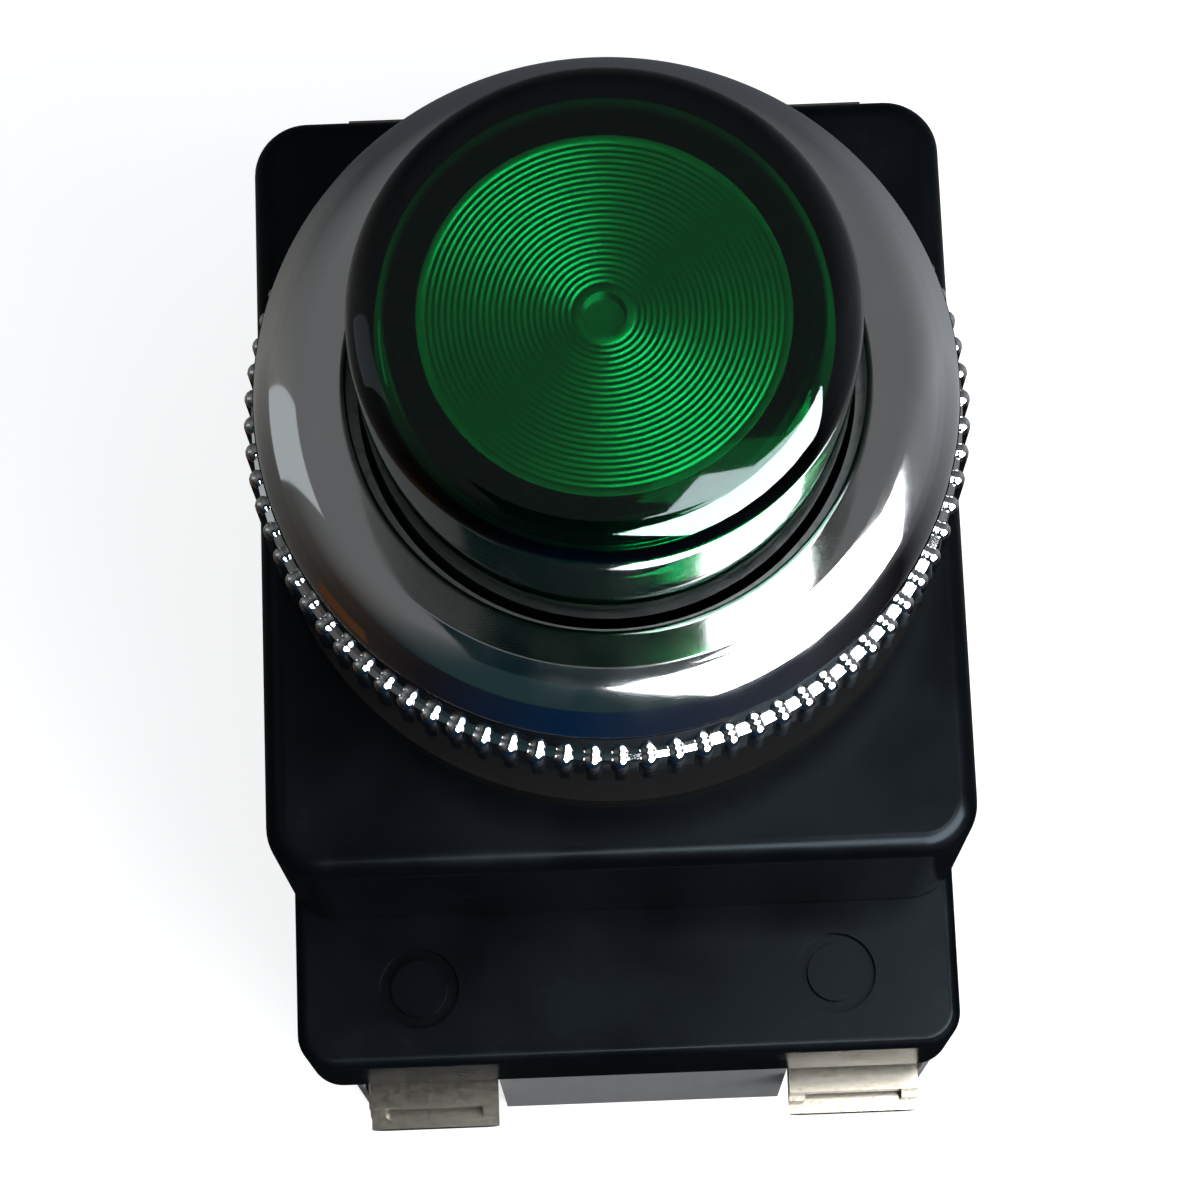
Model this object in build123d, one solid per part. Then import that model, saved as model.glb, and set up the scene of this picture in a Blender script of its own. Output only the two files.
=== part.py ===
from build123d import *
import os
from math import cos, pi, sin

os.makedirs("parts", exist_ok=True)

# Illuminated pushbutton switch for a 30 mm panel hole. Millimetres.
# +Z is the way the button faces, +Y is up on the panel, and Z = 0 is the rear face of the contact block.

# Travel and clearances
button_travel = 4.0
slide_gap = 0.3
seal_gap = 0.08
loose_gap = 0.1
thread_gap = 0.05

# Moving contacts and their terminals, from the block's floor forward
block_floor = 2.0
tongue_room = 5.0
no_tongue_z = block_floor + tongue_room
terminal_thickness = 1.2
button_height = 0.6
bridge_thickness = 1.0
no_follow = 0.7
no_contact_gap = no_follow * button_travel + thread_gap
no_bridge_z = no_tongue_z + terminal_thickness + button_height + no_contact_gap + button_height
terminal_lift = 0.35
terminal_z = no_bridge_z + bridge_thickness + terminal_lift
nc_bridge_z = terminal_z - 2 * button_height - bridge_thickness
block_cover = 3.2

# Heights of the stack, rear to front
block_depth = terminal_z + terminal_thickness + block_cover
adapter_depth = 9.0
housing_seam = 0.3
housing_depth = 15.7
washer_thickness = 2.0
panel_room = 6.5
gasket_thickness = 1.5
flange_thickness = 4.0
bezel_rise = 6.6
lens_stand = 13.0

adapter_z = block_depth
adapter_front_z = adapter_z + adapter_depth
housing_z = adapter_front_z + housing_seam
housing_front_z = housing_z + housing_depth
washer_front_z = housing_front_z + washer_thickness
gasket_z = washer_front_z + panel_room
flange_z = gasket_z + gasket_thickness
flange_front_z = flange_z + flange_thickness
lip_z = flange_front_z + bezel_rise
lens_top_z = lip_z + lens_stand

# Radii from the lamp outwards
lamp_bulb_radius = 4.9
lamp_base_radius = lamp_bulb_radius - 0.3
lamp_room = 4.1
holder_inner = lamp_bulb_radius + lamp_room
plate_ledge = 0.5
plate_radius = holder_inner + plate_ledge
plate_rim = 2.0
lens_bore = plate_radius + plate_rim
lens_wall = 1.6
lens_radius = lens_bore + lens_wall
bore_radius = lens_radius + slide_gap
neck_wall = 1.6
neck_radius = bore_radius + neck_wall

# Bezel ring, gasket and washer round the neck
flange_width = 5.0
flange_radius = neck_radius + flange_width
gasket_width = 3.4
washer_inset = 0.4
washer_tab_half = 2.3
washer_tab_reach = 1.7
washer_tab_height = 1.8
knurl_count = 80
knurl_depth = 0.4
knurl_chamfer = 0.5
lip_gap = 0.8
lip_thickness = 1.9
lip_flat = 2.1
lip_round = 0.3
bezel_foot_inset = 0.9

# Lens and what it caps
lens_crown = 0.5
lens_shoulder = 1.8
lens_inner_round = 0.6
lens_top_wall = 2.4
lens_skirt_z = flange_z - 0.5
plate_thickness = 1.5
plate_drop = 3.2
groove_pitch = 1.0
groove_depth = 0.25
plate_top_z = lens_top_z - plate_drop

# Housings, sized round the clamping flange of the sleeve inside
sleeve_flange_width = 2.6
sleeve_flange_radius = neck_radius + sleeve_flange_width
housing_wall = 2.0
housing_side_room = 0.9
housing_end_room = 3.4
housing_width = 2 * (sleeve_flange_radius + housing_side_room + housing_wall)
housing_height = 2 * (sleeve_flange_radius + housing_end_room + housing_wall)
housing_corner = 3.2
housing_edge = 1.3
adapter_step = 0.3
adapter_width = housing_width - 2 * adapter_step
adapter_corner = 2.2
adapter_edge = 0.7
adapter_floor = 2.5
spigot_height = 2.0
boss_radius = 3.0
mark_x = 12.7
mark_disc_radius = 1.7
mark_groove = 0.75
mark_depth = 0.5

# Contact block, which sits a little off the button's axis
block_shift = 0.8
block_inset = 1.6
block_width = adapter_width - 2 * block_inset
block_side_wall = 1.8
block_end = 15.0
block_corner = 1.2
block_edge = 0.5
cavity_width = block_width - 2 * block_side_wall
cavity_height = 34.0
block_height = cavity_height + 2 * block_end
contact_inset = 3.4
contact_x = cavity_width / 2 - contact_inset
terminal_width = 8.2
terminal_overhang = 1.3
terminal_reach = block_height / 2 + terminal_overhang
pocket_gap = 0.2
screw_inset = 4.1
screw_y = block_height / 2 - screw_inset
pocket_back = 5.4
pocket_end = screw_y - pocket_back
clamp_overhang = 2.4
clamp_side_setback = 0.7
clamp_back = 3.9
clamp_thickness = 1.0
wire_gap = 1.3
terminal_screw_radius = 1.75
terminal_head_radius = 3.5
terminal_head_height = 2.6
adapter_overhang = 0.1
adapter_low = block_height / 2 + adapter_overhang
adapter_setback = 3.6
adapter_high = block_height / 2 - adapter_setback
mark_inset = 4.7
mark_y = mark_inset - adapter_low

# Moving contacts
tongue_width = 5.0
riser_inset = 2.0
riser_y = cavity_height / 2 - riser_inset
contact_button_radius = 1.5
contact_inset_y = 6.0
contact_button_y = riser_y - contact_inset_y
tongue_tip = 2.0
tongue_end = contact_button_y - tongue_tip
bridge_width = 4.4
bridge_tip = 2.5
bridge_half_length = contact_button_y + bridge_tip
carriage_depth = 3.0
carriage_side_gap = 0.8
carriage_half_width = cavity_width / 2 - carriage_side_gap
carriage_floor_gap = 0.4
carriage_z = block_floor + button_travel + carriage_floor_gap
carriage_cover_gap = 1.4
carriage_hub_radius = 4.6
carriage_well_radius = 3.2
carriage_well = 4.4
carriage_spring_radius = 2.5
carriage_spring_wire = 0.3
contact_spring_radius = 1.5
contact_spring_wire = 0.22
guide_gap = 1.8
guide_width = 1.8
guide_depth = 1.4
guide_height = 6.0
leg_gap = 0.3

# Lamp and its socket
lamp_base_length = 11.0
lamp_top_drop = 11.6
socket_gap = 1.6
socket_radius = holder_inner - socket_gap
socket_height = 13.5
shell_wall = 0.5
lamp_terminal_inset = 4.5
lamp_terminal_y = cavity_height / 2 - lamp_terminal_inset
lamp_terminal_z = 6.0
lamp_terminal_width = 6.6
lamp_terminal_thickness = 0.8
lamp_pad_half = 3.4
lamp_blade_half = 1.4
lamp_blade_thickness = 0.4
lamp_screw_length = 5.0
lamp_head_radius = 2.9
lamp_head = 2.0
lamp_screw_radius = 1.5
lamp_screw_offset = 0.4


def disc(radius, low, high, x=0.0, y=0.0):
    """A plain cylinder between two heights."""
    height = high - low
    return Pos(x, y, low) * Cylinder(radius, height, align=(Align.CENTER, Align.CENTER, Align.MIN))


def tube(outer, inner, low, high, x=0.0, y=0.0):
    return disc(outer, low, high, x, y) - disc(inner, low, high, x, y)


def block(x_low, x_high, y_low, y_high, z_low, z_high):
    """A box given by its lowest and highest corners."""
    size = (x_high - x_low, y_high - y_low, z_high - z_low)
    return Pos(x_low, y_low, z_low) * Box(*size, align=(Align.MIN, Align.MIN, Align.MIN))


def rounded_slab(width, height, corner, low, high, y=0.0):
    outline = Pos(0, y, low) * RectangleRounded(width, height, corner)
    return extrude(outline, high - low)


def turned(edges):
    """A solid of revolution about Z from a closed outline drawn in the XZ plane."""
    outline = make_face([Plane.XZ * edge for edge in edges])
    return revolve(outline, Axis.Z)


def turned_points(points):
    return revolve(make_face(Plane.XZ * Polyline(*points, close=True)), Axis.Z)


def coil(radius, wire, turns, low, high, x=0.0, y=0.0):
    """A compression spring of flat-sided wire, its ends closed against both seats."""
    rise = high - low - 2 * wire
    path = Helix(rise / turns, rise, radius)
    section = Plane(path @ 0, z_dir=path % 0) * RegularPolygon(wire, 6)
    return Pos(x, y, low + wire) * sweep(section, path, is_frenet=True)


def cross_recess(radius, depth, face_z, x, y):
    """The cross slot of a screw head whose head faces -Z."""
    slot = radius * 0.28
    reach = radius * 0.62
    along = block(x - reach, x + reach, y - slot, y + slot, face_z, face_z + depth)
    across = block(x - slot, x + slot, y - reach, y + reach, face_z, face_z + depth)
    return along + across


def screw(head_radius, head_height, shank_radius, head_z, tip_z, x, y):
    """A pan-head screw that points to +Z, with its cross slot facing the rear."""
    head = disc(head_radius, head_z, head_z + head_height, x, y)
    rim = head.edges().filter_by(GeomType.CIRCLE).sort_by(Axis.Z)[0]
    head = fillet(rim, head_height * 0.35)
    shank = disc(shank_radius, head_z + head_height, tip_z, x, y)
    return head + shank - cross_recess(head_radius, head_height * 0.5, head_z, x, y)


def save(shape, name):
    shape.label = name
    export_step(shape, f"parts/{name}.step")


# Lens: a moulded cap with a round shoulder and a slightly crowned top
def make_lens():
    shoulder_z = lens_top_z - lens_crown - lens_shoulder
    inner_round = lens_inner_round
    inner_top_z = lens_top_z - lens_top_wall
    crown_r = lens_radius - lens_shoulder
    inner_r = lens_bore - inner_round
    inner_crown_z = inner_top_z - lens_crown
    outer_mid = (crown_r + lens_shoulder * cos(pi / 4), shoulder_z + lens_shoulder * sin(pi / 4))
    inner_mid = (inner_r + inner_round * cos(pi / 4), inner_crown_z - inner_round * (1 - sin(pi / 4)))
    edges = [
        Line((lens_bore, lens_skirt_z), (lens_radius, lens_skirt_z)),
        Line((lens_radius, lens_skirt_z), (lens_radius, shoulder_z)),
        ThreePointArc((lens_radius, shoulder_z), outer_mid, (crown_r, shoulder_z + lens_shoulder)),
        Spline((crown_r, shoulder_z + lens_shoulder), (0, lens_top_z), tangents=[(-1, 0.08), (-1, 0)]),
        Line((0, lens_top_z), (0, inner_top_z)),
        Spline((0, inner_top_z), (inner_r, inner_crown_z), tangents=[(1, 0), (1, -0.08)]),
        ThreePointArc((inner_r, inner_crown_z), inner_mid, (lens_bore, inner_crown_z - inner_round)),
        Line((lens_bore, inner_crown_z - inner_round), (lens_bore, lens_skirt_z)),
    ]
    return turned(edges)


# Marking plate under the lens, its face turned with fine rings
def make_marking_plate():
    low = plate_top_z - plate_thickness
    points = [(0, low), (plate_radius, low), (plate_radius, plate_top_z)]
    ring = plate_radius - groove_pitch * 0.5
    while ring > groove_pitch:
        points.append((ring, plate_top_z))
        points.append((ring - groove_pitch * 0.5, plate_top_z - groove_depth))
        ring -= groove_pitch
    points.append((ring, plate_top_z))
    points.append((0, plate_top_z))
    return turned_points(points)


# Lens holder: the plunger that carries the lens, guided in the neck, with two legs to the contact block
holder_outer = lens_bore - 0.2
holder_shaft = holder_outer - 0.5
holder_foot_z = adapter_z + adapter_floor + button_travel + 1.0
holder_flange = 3.0
holder_flange_z = lens_skirt_z - holder_flange
leg_half_width = 2.5
carriage_top_z = block_depth - carriage_cover_gap
leg_z = carriage_top_z + leg_gap


def make_lens_holder():
    rim_z = plate_top_z
    seat_z = plate_top_z - plate_thickness
    chamfer_size = 0.8
    seat_r = plate_radius + loose_gap
    points = [
        (holder_inner, holder_foot_z),
        (holder_shaft, holder_foot_z),
        (holder_shaft, holder_flange_z),
        (lens_radius, holder_flange_z),
        (lens_radius, lens_skirt_z),
        (holder_outer, lens_skirt_z),
        (holder_outer, rim_z - chamfer_size),
        (holder_outer - chamfer_size, rim_z),
        (seat_r, rim_z),
        (seat_r, seat_z),
        (holder_inner, seat_z),
    ]
    body = turned_points(points)
    leg_ring = tube(holder_shaft, holder_inner, leg_z, holder_foot_z)
    leg_strip = block(-holder_shaft, holder_shaft, -leg_half_width, leg_half_width, leg_z, holder_foot_z)
    return body + (leg_ring & leg_strip)


# Operator sleeve: threaded neck, clamping flange and the guide skirt behind it
sleeve_flange = 2.5
sleeve_front_z = lip_z - lip_thickness - 0.2
sleeve_rear_z = adapter_front_z + spigot_height + 2.0
seal_height = 2.0
seal_z = sleeve_front_z - seal_height - 1.5
seal_outer = bore_radius + 0.8
front_wall_z = housing_front_z - housing_wall


def make_operator_sleeve():
    skirt_radius = bore_radius + 1.2
    chamfer_size = 0.6
    points = [
        (bore_radius, sleeve_rear_z),
        (skirt_radius, sleeve_rear_z),
        (skirt_radius, front_wall_z - sleeve_flange),
        (sleeve_flange_radius, front_wall_z - sleeve_flange),
        (sleeve_flange_radius, front_wall_z),
        (neck_radius, front_wall_z),
        (neck_radius, sleeve_front_z - chamfer_size),
        (neck_radius - chamfer_size, sleeve_front_z),
        (bore_radius, sleeve_front_z),
    ]
    groove = tube(seal_outer, bore_radius - 1, seal_z, seal_z + seal_height)
    return turned_points(points) - groove


def make_wiper_seal():
    inner = lens_radius + seal_gap
    lip = 0.35
    points = [
        (seal_outer, seal_z),
        (seal_outer, seal_z + seal_height),
        (inner + lip, seal_z + seal_height),
        (inner, seal_z + seal_height * 0.5),
        (inner + lip, seal_z),
    ]
    return turned_points(points)


# Bezel ring: a chromed locking ring with a straight knurl and a domed front
def make_bezel_ring():
    lip_radius = lens_radius + lip_gap
    foot_radius = flange_radius - bezel_foot_inset
    root = flange_radius - knurl_depth
    knurl = []
    for tooth in range(knurl_count):
        for share, radius in ((-0.22, flange_radius), (0.22, flange_radius), (0.5, root)):
            angle = 2 * pi * (tooth + share) / knurl_count
            knurl.append((radius * cos(angle), radius * sin(angle)))
    outline = Pos(0, 0, flange_z) * make_face(Polyline(*knurl, close=True))
    teeth = extrude(outline, flange_thickness)
    limit = turned_points([
        (0, flange_z),
        (flange_radius - knurl_chamfer, flange_z),
        (flange_radius + 0.01, flange_z + knurl_chamfer),
        (flange_radius + 0.01, flange_front_z - knurl_chamfer),
        (flange_radius - knurl_chamfer, flange_front_z),
        (0, flange_front_z),
    ])
    lip_top = lip_radius + lip_flat
    dome = turned([
        Line((0, flange_front_z), (foot_radius, flange_front_z)),
        EllipticalCenterArc((lip_top, flange_front_z), foot_radius - lip_top, bezel_rise, arc_size=90),
        Line((lip_top, lip_z), (0, lip_z)),
        Line((0, lip_z), (0, flange_front_z)),
    ])
    ring = (teeth & limit) + dome
    thread_bore = disc(neck_radius + thread_gap, flange_z, lip_z - lip_thickness)
    opening = disc(lip_radius, flange_z, lip_z)
    ring = ring - thread_bore - opening
    lip_edge = ring.edges().filter_by(GeomType.CIRCLE).group_by(Axis.Z)[-1].sort_by(SortBy.RADIUS)[0]
    return fillet(lip_edge, lip_round)


def make_front_gasket():
    return tube(neck_radius + gasket_width, neck_radius + loose_gap, gasket_z, flange_z)


# Anti-rotation washer: rubber-faced, with the tab that sits in the notch of the panel hole
def make_anti_rotation_washer():
    outer = flange_radius - washer_inset
    inner = neck_radius + loose_gap
    washer = tube(outer, inner, housing_front_z, washer_front_z)
    tab_top = washer_front_z + washer_tab_height
    tab_y = inner + washer_tab_reach
    tab = block(-washer_tab_half, washer_tab_half, 0, tab_y, washer_front_z, tab_top)
    return washer + (tab - disc(inner, washer_front_z, tab_top))


# Front housing: a moulded shell, open to the rear, with four screw bosses
boss_x = housing_width / 2 - housing_wall - boss_radius + 0.3
boss_y = housing_height / 2 - housing_wall - boss_radius + 0.3
boss_places = [(sx * boss_x, sy * boss_y) for sx in (-1, 1) for sy in (-1, 1)]
boss_screw_radius = 1.5


def make_front_housing():
    shell = rounded_slab(housing_width, housing_height, housing_corner, housing_z, housing_front_z)
    shell = fillet(shell.edges().group_by(Axis.Z)[-1], housing_edge)
    inner_corner = housing_corner - housing_wall * 0.5
    cavity = rounded_slab(
        housing_width - 2 * housing_wall,
        housing_height - 2 * housing_wall,
        inner_corner,
        housing_z,
        front_wall_z,
    )
    shell = shell - cavity - disc(neck_radius + loose_gap, front_wall_z, housing_front_z)
    boss_low = adapter_front_z + spigot_height
    for x, y in boss_places:
        boss = disc(boss_radius, boss_low, front_wall_z, x, y)
        shell = shell + boss
    for x, y in boss_places:
        shell = shell - disc(boss_screw_radius + loose_gap, boss_low, front_wall_z - 2, x, y)
    return shell


# Adapter: the black rear housing that joins the operator to the contact block
well_radius = holder_shaft + 0.4
spring_radius = (holder_shaft + bore_radius) / 2
spring_wire = 0.45
housing_head_radius = 2.8
housing_head = 2.2
block_screw_y = cavity_height / 2 + 7.6
block_screw_radius = 1.75
block_head_radius = 3.2
block_head = 2.4


def make_adapter():
    height = adapter_low + adapter_high
    middle = (adapter_high - adapter_low) / 2
    body = rounded_slab(adapter_width, height, adapter_corner, adapter_z, adapter_front_z, middle)
    body = fillet(body.edges().group_by(Axis.Z)[-1], adapter_edge)
    fit = housing_wall + 0.15
    spigot = rounded_slab(
        housing_width - 2 * fit,
        housing_height - 2 * fit,
        housing_corner - fit * 0.5,
        adapter_front_z,
        adapter_front_z + spigot_height,
    )
    floor_z = adapter_z + adapter_floor
    body = body + spigot
    body = body - disc(bore_radius - 0.2, adapter_front_z, adapter_front_z + spigot_height)
    body = body - disc(well_radius, floor_z, adapter_front_z)
    slot_x = holder_shaft + 0.4
    slot_in = holder_inner - 0.4
    slot_y = leg_half_width + 0.4
    for side in (-1, 1):
        low = min(side * slot_x, side * slot_in)
        high = max(side * slot_x, side * slot_in)
        body = body - block(low, high, -slot_y, slot_y, adapter_z, floor_z)
        blade_y = side * lamp_terminal_y * 0.5
        body = body - beside(block(-1.6, 1.6, blade_y - 0.6, blade_y + 0.6, adapter_z, floor_z))
    spigot_top = adapter_front_z + spigot_height
    for x, y in boss_places:
        body = body - disc(housing_head_radius + loose_gap, adapter_z, adapter_z + housing_head, x, y)
        body = body - disc(boss_screw_radius + loose_gap, adapter_z, spigot_top, x, y)
    screw_hole = block_screw_radius + loose_gap
    for side in (-1, 1):
        screw_hole_y = side * block_screw_y
        body = body - disc(screw_hole, adapter_z, adapter_front_z - 2, block_shift, screw_hole_y)
        mark = tube(
            mark_disc_radius + mark_groove,
            mark_disc_radius,
            adapter_front_z - mark_depth,
            adapter_front_z,
            side * mark_x,
            mark_y,
        )
        body = body - mark
    return body


def make_housing_screws():
    tip = front_wall_z - 4
    return Compound(
        children=[
            screw(housing_head_radius, housing_head, boss_screw_radius, adapter_z, tip, x, y)
            for x, y in boss_places
        ]
    )


# Contact block body, drawn about its own middle and moved aside at the end
pocket_half = terminal_width / 2 + pocket_gap
corners = [(sx, sy) for sx in (-1, 1) for sy in (-1, 1)]


def span(side, near, far):
    """The two ends, in rising order, of a stretch from near to far on one side of the middle."""
    return sorted((side * near, side * far))


def beside(shape):
    return Pos(block_shift, 0, 0) * shape


def make_contact_block_body():
    body = rounded_slab(block_width, block_height, block_corner, 0, block_depth)
    body = chamfer(body.edges().group_by(Axis.Z)[0], block_edge)
    half_x = cavity_width / 2
    half_y = cavity_height / 2
    cavity = block(-half_x, half_x, -half_y, half_y, block_floor, block_depth)
    column_half = lamp_terminal_width / 2 + 1.2
    for side in (-1, 1):
        low, high = span(side, lamp_terminal_y - 4.6, cavity_height / 2)
        cavity = cavity - block(-column_half, column_half, low, high, block_floor, block_depth)
    body = body - cavity
    end = block_height / 2
    for sx, sy in corners:
        x_low = sx * contact_x - pocket_half
        x_high = sx * contact_x + pocket_half
        y_low, y_high = span(sy, pocket_end, end)
        body = body - block(x_low, x_high, y_low, y_high, 0, terminal_z)
        y_low, y_high = span(sy, cavity_height / 2, end)
        body = body - block(x_low, x_high, y_low, y_high, terminal_z, block_depth)
    for side in (-1, 1):
        y = side * block_screw_y
        body = body - disc(block_head_radius + loose_gap, 0, block_head + 1.2, 0, y)
        body = body - disc(block_screw_radius + loose_gap, 0, block_depth, 0, y)
        half = lamp_terminal_width / 2 + pocket_gap
        pad_room = lamp_pad_half + pocket_gap
        y_low, y_high = span(side, lamp_terminal_y - pad_room, lamp_terminal_y + pad_room)
        body = body - block(-half, half, y_low, y_high, 0, lamp_terminal_z + lamp_terminal_thickness)
        blade_y = side * (lamp_terminal_y - 3.2)
        body = body - block(-1.7, 1.7, blade_y - 0.5, blade_y + 0.5, lamp_terminal_z, block_depth)
        y_low, y_high = span(side, lamp_terminal_y - 4.7, lamp_terminal_y - 3.2)
        body = body - block(-1.7, 1.7, y_low, y_high, block_depth - 0.8, block_depth)
        hole_y = side * (lamp_terminal_y + lamp_screw_offset)
        body = body - disc(lamp_screw_radius + loose_gap, lamp_terminal_z, lamp_terminal_z + 6, 0, hole_y)
    guide_x = carriage_hub_radius + guide_gap
    guide_y = carriage_depth + slide_gap
    for sx, sy in corners:
        y_low, y_high = span(sy, guide_y, guide_y + guide_depth)
        x_low, x_high = span(sx, guide_x, guide_x + guide_width)
        body = body + block(x_low, x_high, y_low, y_high, block_floor, carriage_z + guide_height)
    spring_boss = disc(carriage_spring_radius - 0.9, block_floor, block_floor + 2.2)
    return beside(body + spring_boss)


# Fixed contacts: each is one strip, from the wire terminal to the silver button inside
def make_terminal(sx, sy, normally_open):
    x = sx * contact_x
    half = terminal_width / 2
    top = terminal_z + terminal_thickness
    y_low, y_high = span(sy, cavity_height / 2 + 1.5, terminal_reach)
    strip = block(x - half, x + half, y_low, y_high, terminal_z, top)
    tongue_half = tongue_width / 2
    if normally_open:
        y_low, y_high = span(sy, riser_y, cavity_height / 2 + 1.5)
        strip = strip + block(x - tongue_half, x + tongue_half, y_low, y_high, terminal_z, top)
        y_low, y_high = span(sy, riser_y, riser_y + terminal_thickness)
        strip = strip + block(x - tongue_half, x + tongue_half, y_low, y_high, no_tongue_z, terminal_z)
        y_low, y_high = span(sy, tongue_end, riser_y)
        silver_z = no_tongue_z + terminal_thickness
        strip = strip + block(x - tongue_half, x + tongue_half, y_low, y_high, no_tongue_z, silver_z)
    else:
        y_low, y_high = span(sy, tongue_end, cavity_height / 2 + 1.5)
        strip = strip + block(x - tongue_half, x + tongue_half, y_low, y_high, terminal_z, top)
        silver_z = terminal_z - button_height
    silver = disc(contact_button_radius, silver_z, silver_z + button_height, x, sy * contact_button_y)
    strip = strip - disc(terminal_screw_radius + thread_gap, terminal_z, top, x, sy * screw_y)
    return beside(strip + silver)


# Saddle clamp: a square washer whose two sides are folded up to keep the wire under the screw
clamp_top_z = terminal_z - wire_gap


def make_saddle_clamp(sx, sy):
    x = sx * contact_x
    half = terminal_width / 2
    low = clamp_top_z - clamp_thickness
    reach = block_height / 2 + clamp_overhang
    y_low, y_high = span(sy, screw_y - clamp_back, reach)
    saddle = block(x - half, x + half, y_low, y_high, low, terminal_z)
    saddle = fillet(saddle.edges().filter_by(Axis.Y).group_by(Axis.Z)[0], clamp_thickness)
    inside = half - clamp_thickness
    saddle = saddle - block(x - inside, x + inside, y_low, y_high, clamp_top_z, terminal_z)
    tip_low, tip_high = span(sy, reach - clamp_side_setback, reach)
    saddle = saddle - block(x - half, x + half, tip_low, tip_high, clamp_top_z, terminal_z)
    saddle = saddle - disc(terminal_screw_radius + loose_gap, low, terminal_z, x, sy * screw_y)
    return beside(saddle)


def make_terminal_screw(sx, sy):
    head_z = clamp_top_z - clamp_thickness - terminal_head_height
    tip = block_depth - 0.8
    return beside(
        screw(
            terminal_head_radius,
            terminal_head_height,
            terminal_screw_radius,
            head_z,
            tip,
            sx * contact_x,
            sy * screw_y,
        )
    )


def make_block_screws():
    tip = adapter_front_z - 3
    head_z = 1.2
    screws = [
        screw(block_head_radius, block_head, block_screw_radius, head_z, tip, block_shift, y)
        for y in (-block_screw_y, block_screw_y)
    ]
    return Compound(children=screws)


# Contact carriage and the two spring-loaded bridges that it carries
window_half = bridge_width / 2 + slide_gap
carriage_spring_top = carriage_z + carriage_well
no_window_top = carriage_top_z - 0.8
nc_window_low = carriage_z + 1.0


def make_contact_carriage():
    half = carriage_half_width
    bar = block(-half, half, -carriage_depth, carriage_depth, carriage_z, carriage_top_z)
    body = bar + disc(carriage_hub_radius, carriage_z, carriage_top_z)
    windows = (
        (-contact_x, no_bridge_z - 0.05, no_window_top),
        (contact_x, nc_window_low, nc_bridge_z + bridge_thickness + 1.05),
    )
    through = 2 * carriage_depth
    for x, low, high in windows:
        body = body - block(x - window_half, x + window_half, -through, through, low, high)
    return beside(body - disc(carriage_well_radius, carriage_z, carriage_spring_top))


def make_bridge(x, low, button_side):
    """A moving contact: a flat bar with a silver button near each end, facing up (1) or down (-1)."""
    half = bridge_width / 2
    bar = block(x - half, x + half, -bridge_half_length, bridge_half_length, low, low + bridge_thickness)
    for sy in (-1, 1):
        if button_side > 0:
            face = low + bridge_thickness
            bar = bar + disc(contact_button_radius, face, face + button_height, x, sy * contact_button_y)
        else:
            bar = bar + disc(contact_button_radius, low - button_height, low, x, sy * contact_button_y)
    return beside(bar)


# Lamp, its socket and the strips that feed it
socket_z = adapter_z + adapter_floor
lamp_top_z = lens_top_z - lamp_top_drop
shell_z = socket_z + 3.0
lamp_seat_z = shell_z + 1.2
lamp_base_top = lamp_seat_z + 1.6 + lamp_base_length


def make_lamp_socket_body():
    body = disc(socket_radius, socket_z, socket_z + socket_height)
    hollow = lamp_base_radius + loose_gap + shell_wall
    return body - disc(hollow, shell_z, socket_z + socket_height)


def make_lamp_socket_shell():
    inner = lamp_base_radius + loose_gap
    top = lamp_base_top - 1.0
    shell = tube(inner + shell_wall, inner, shell_z, top)
    slot = block(-0.9, 0.9, -2 * socket_radius, 2 * socket_radius, top - 5, top)
    return shell - slot


def make_lamp_socket_contact():
    return disc(2.2, shell_z, shell_z + 0.5) + disc(1.0, shell_z + 0.5, lamp_seat_z)


def make_lamp_tip():
    return disc(1.5, lamp_seat_z, lamp_seat_z + 0.8)


def make_lamp_insulator():
    base = lamp_seat_z + 0.8
    return extrude(Pos(0, 0, base) * Circle(lamp_base_radius - 1.4), 0.8)


def make_lamp_base():
    base = disc(lamp_base_radius - 0.3, lamp_seat_z + 1.6, lamp_base_top)
    pins = Pos(0, 0, lamp_base_top - 3.5) * Rot(90, 0, 0) * Cylinder(0.7, 2 * (lamp_base_radius - 0.1))
    return base + pins


def make_lamp_bulb():
    skirt_top = lamp_top_z - lamp_bulb_radius
    body = disc(lamp_bulb_radius, lamp_base_top, skirt_top)
    return body + Pos(0, 0, skirt_top) * Sphere(lamp_bulb_radius)


def make_lamp_terminal(side):
    """A strip from the rear lamp terminal forward to the foot of the lamp socket."""
    half = lamp_terminal_width / 2
    top = lamp_terminal_z + lamp_terminal_thickness
    y_low, y_high = span(side, lamp_terminal_y - lamp_pad_half, lamp_terminal_y + lamp_pad_half)
    pad = block(-half, half, y_low, y_high, lamp_terminal_z, top)
    hole_y = side * (lamp_terminal_y + lamp_screw_offset)
    pad = pad - disc(lamp_screw_radius + thread_gap, lamp_terminal_z, top, 0, hole_y)
    blade_out = lamp_terminal_y - lamp_pad_half + lamp_blade_thickness
    y_low, y_high = span(side, lamp_terminal_y - lamp_pad_half, blade_out)
    shelf_top = block_depth - 0.2
    shelf_z = shelf_top - lamp_blade_thickness
    wide = lamp_blade_half
    blade = block(-wide, wide, y_low, y_high, top, shelf_z)
    tab_in = lamp_terminal_y * 0.5 - 0.3
    y_low, y_high = span(side, tab_in, blade_out)
    shelf = block(-wide, wide, y_low, y_high, shelf_z, shelf_top)
    y_low, y_high = span(side, tab_in, tab_in + lamp_blade_thickness)
    tab = block(-wide, wide, y_low, y_high, shelf_top, socket_z - 0.1)
    return beside(pad + blade + shelf + tab)


def make_lamp_terminal_screws():
    head_z = lamp_terminal_z - lamp_head
    tip = lamp_terminal_z + lamp_screw_length
    reach = lamp_terminal_y + lamp_screw_offset
    screws = [
        screw(lamp_head_radius, lamp_head, lamp_screw_radius, head_z, tip, block_shift, y)
        for y in (-reach, reach)
    ]
    return Compound(children=screws)


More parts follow.
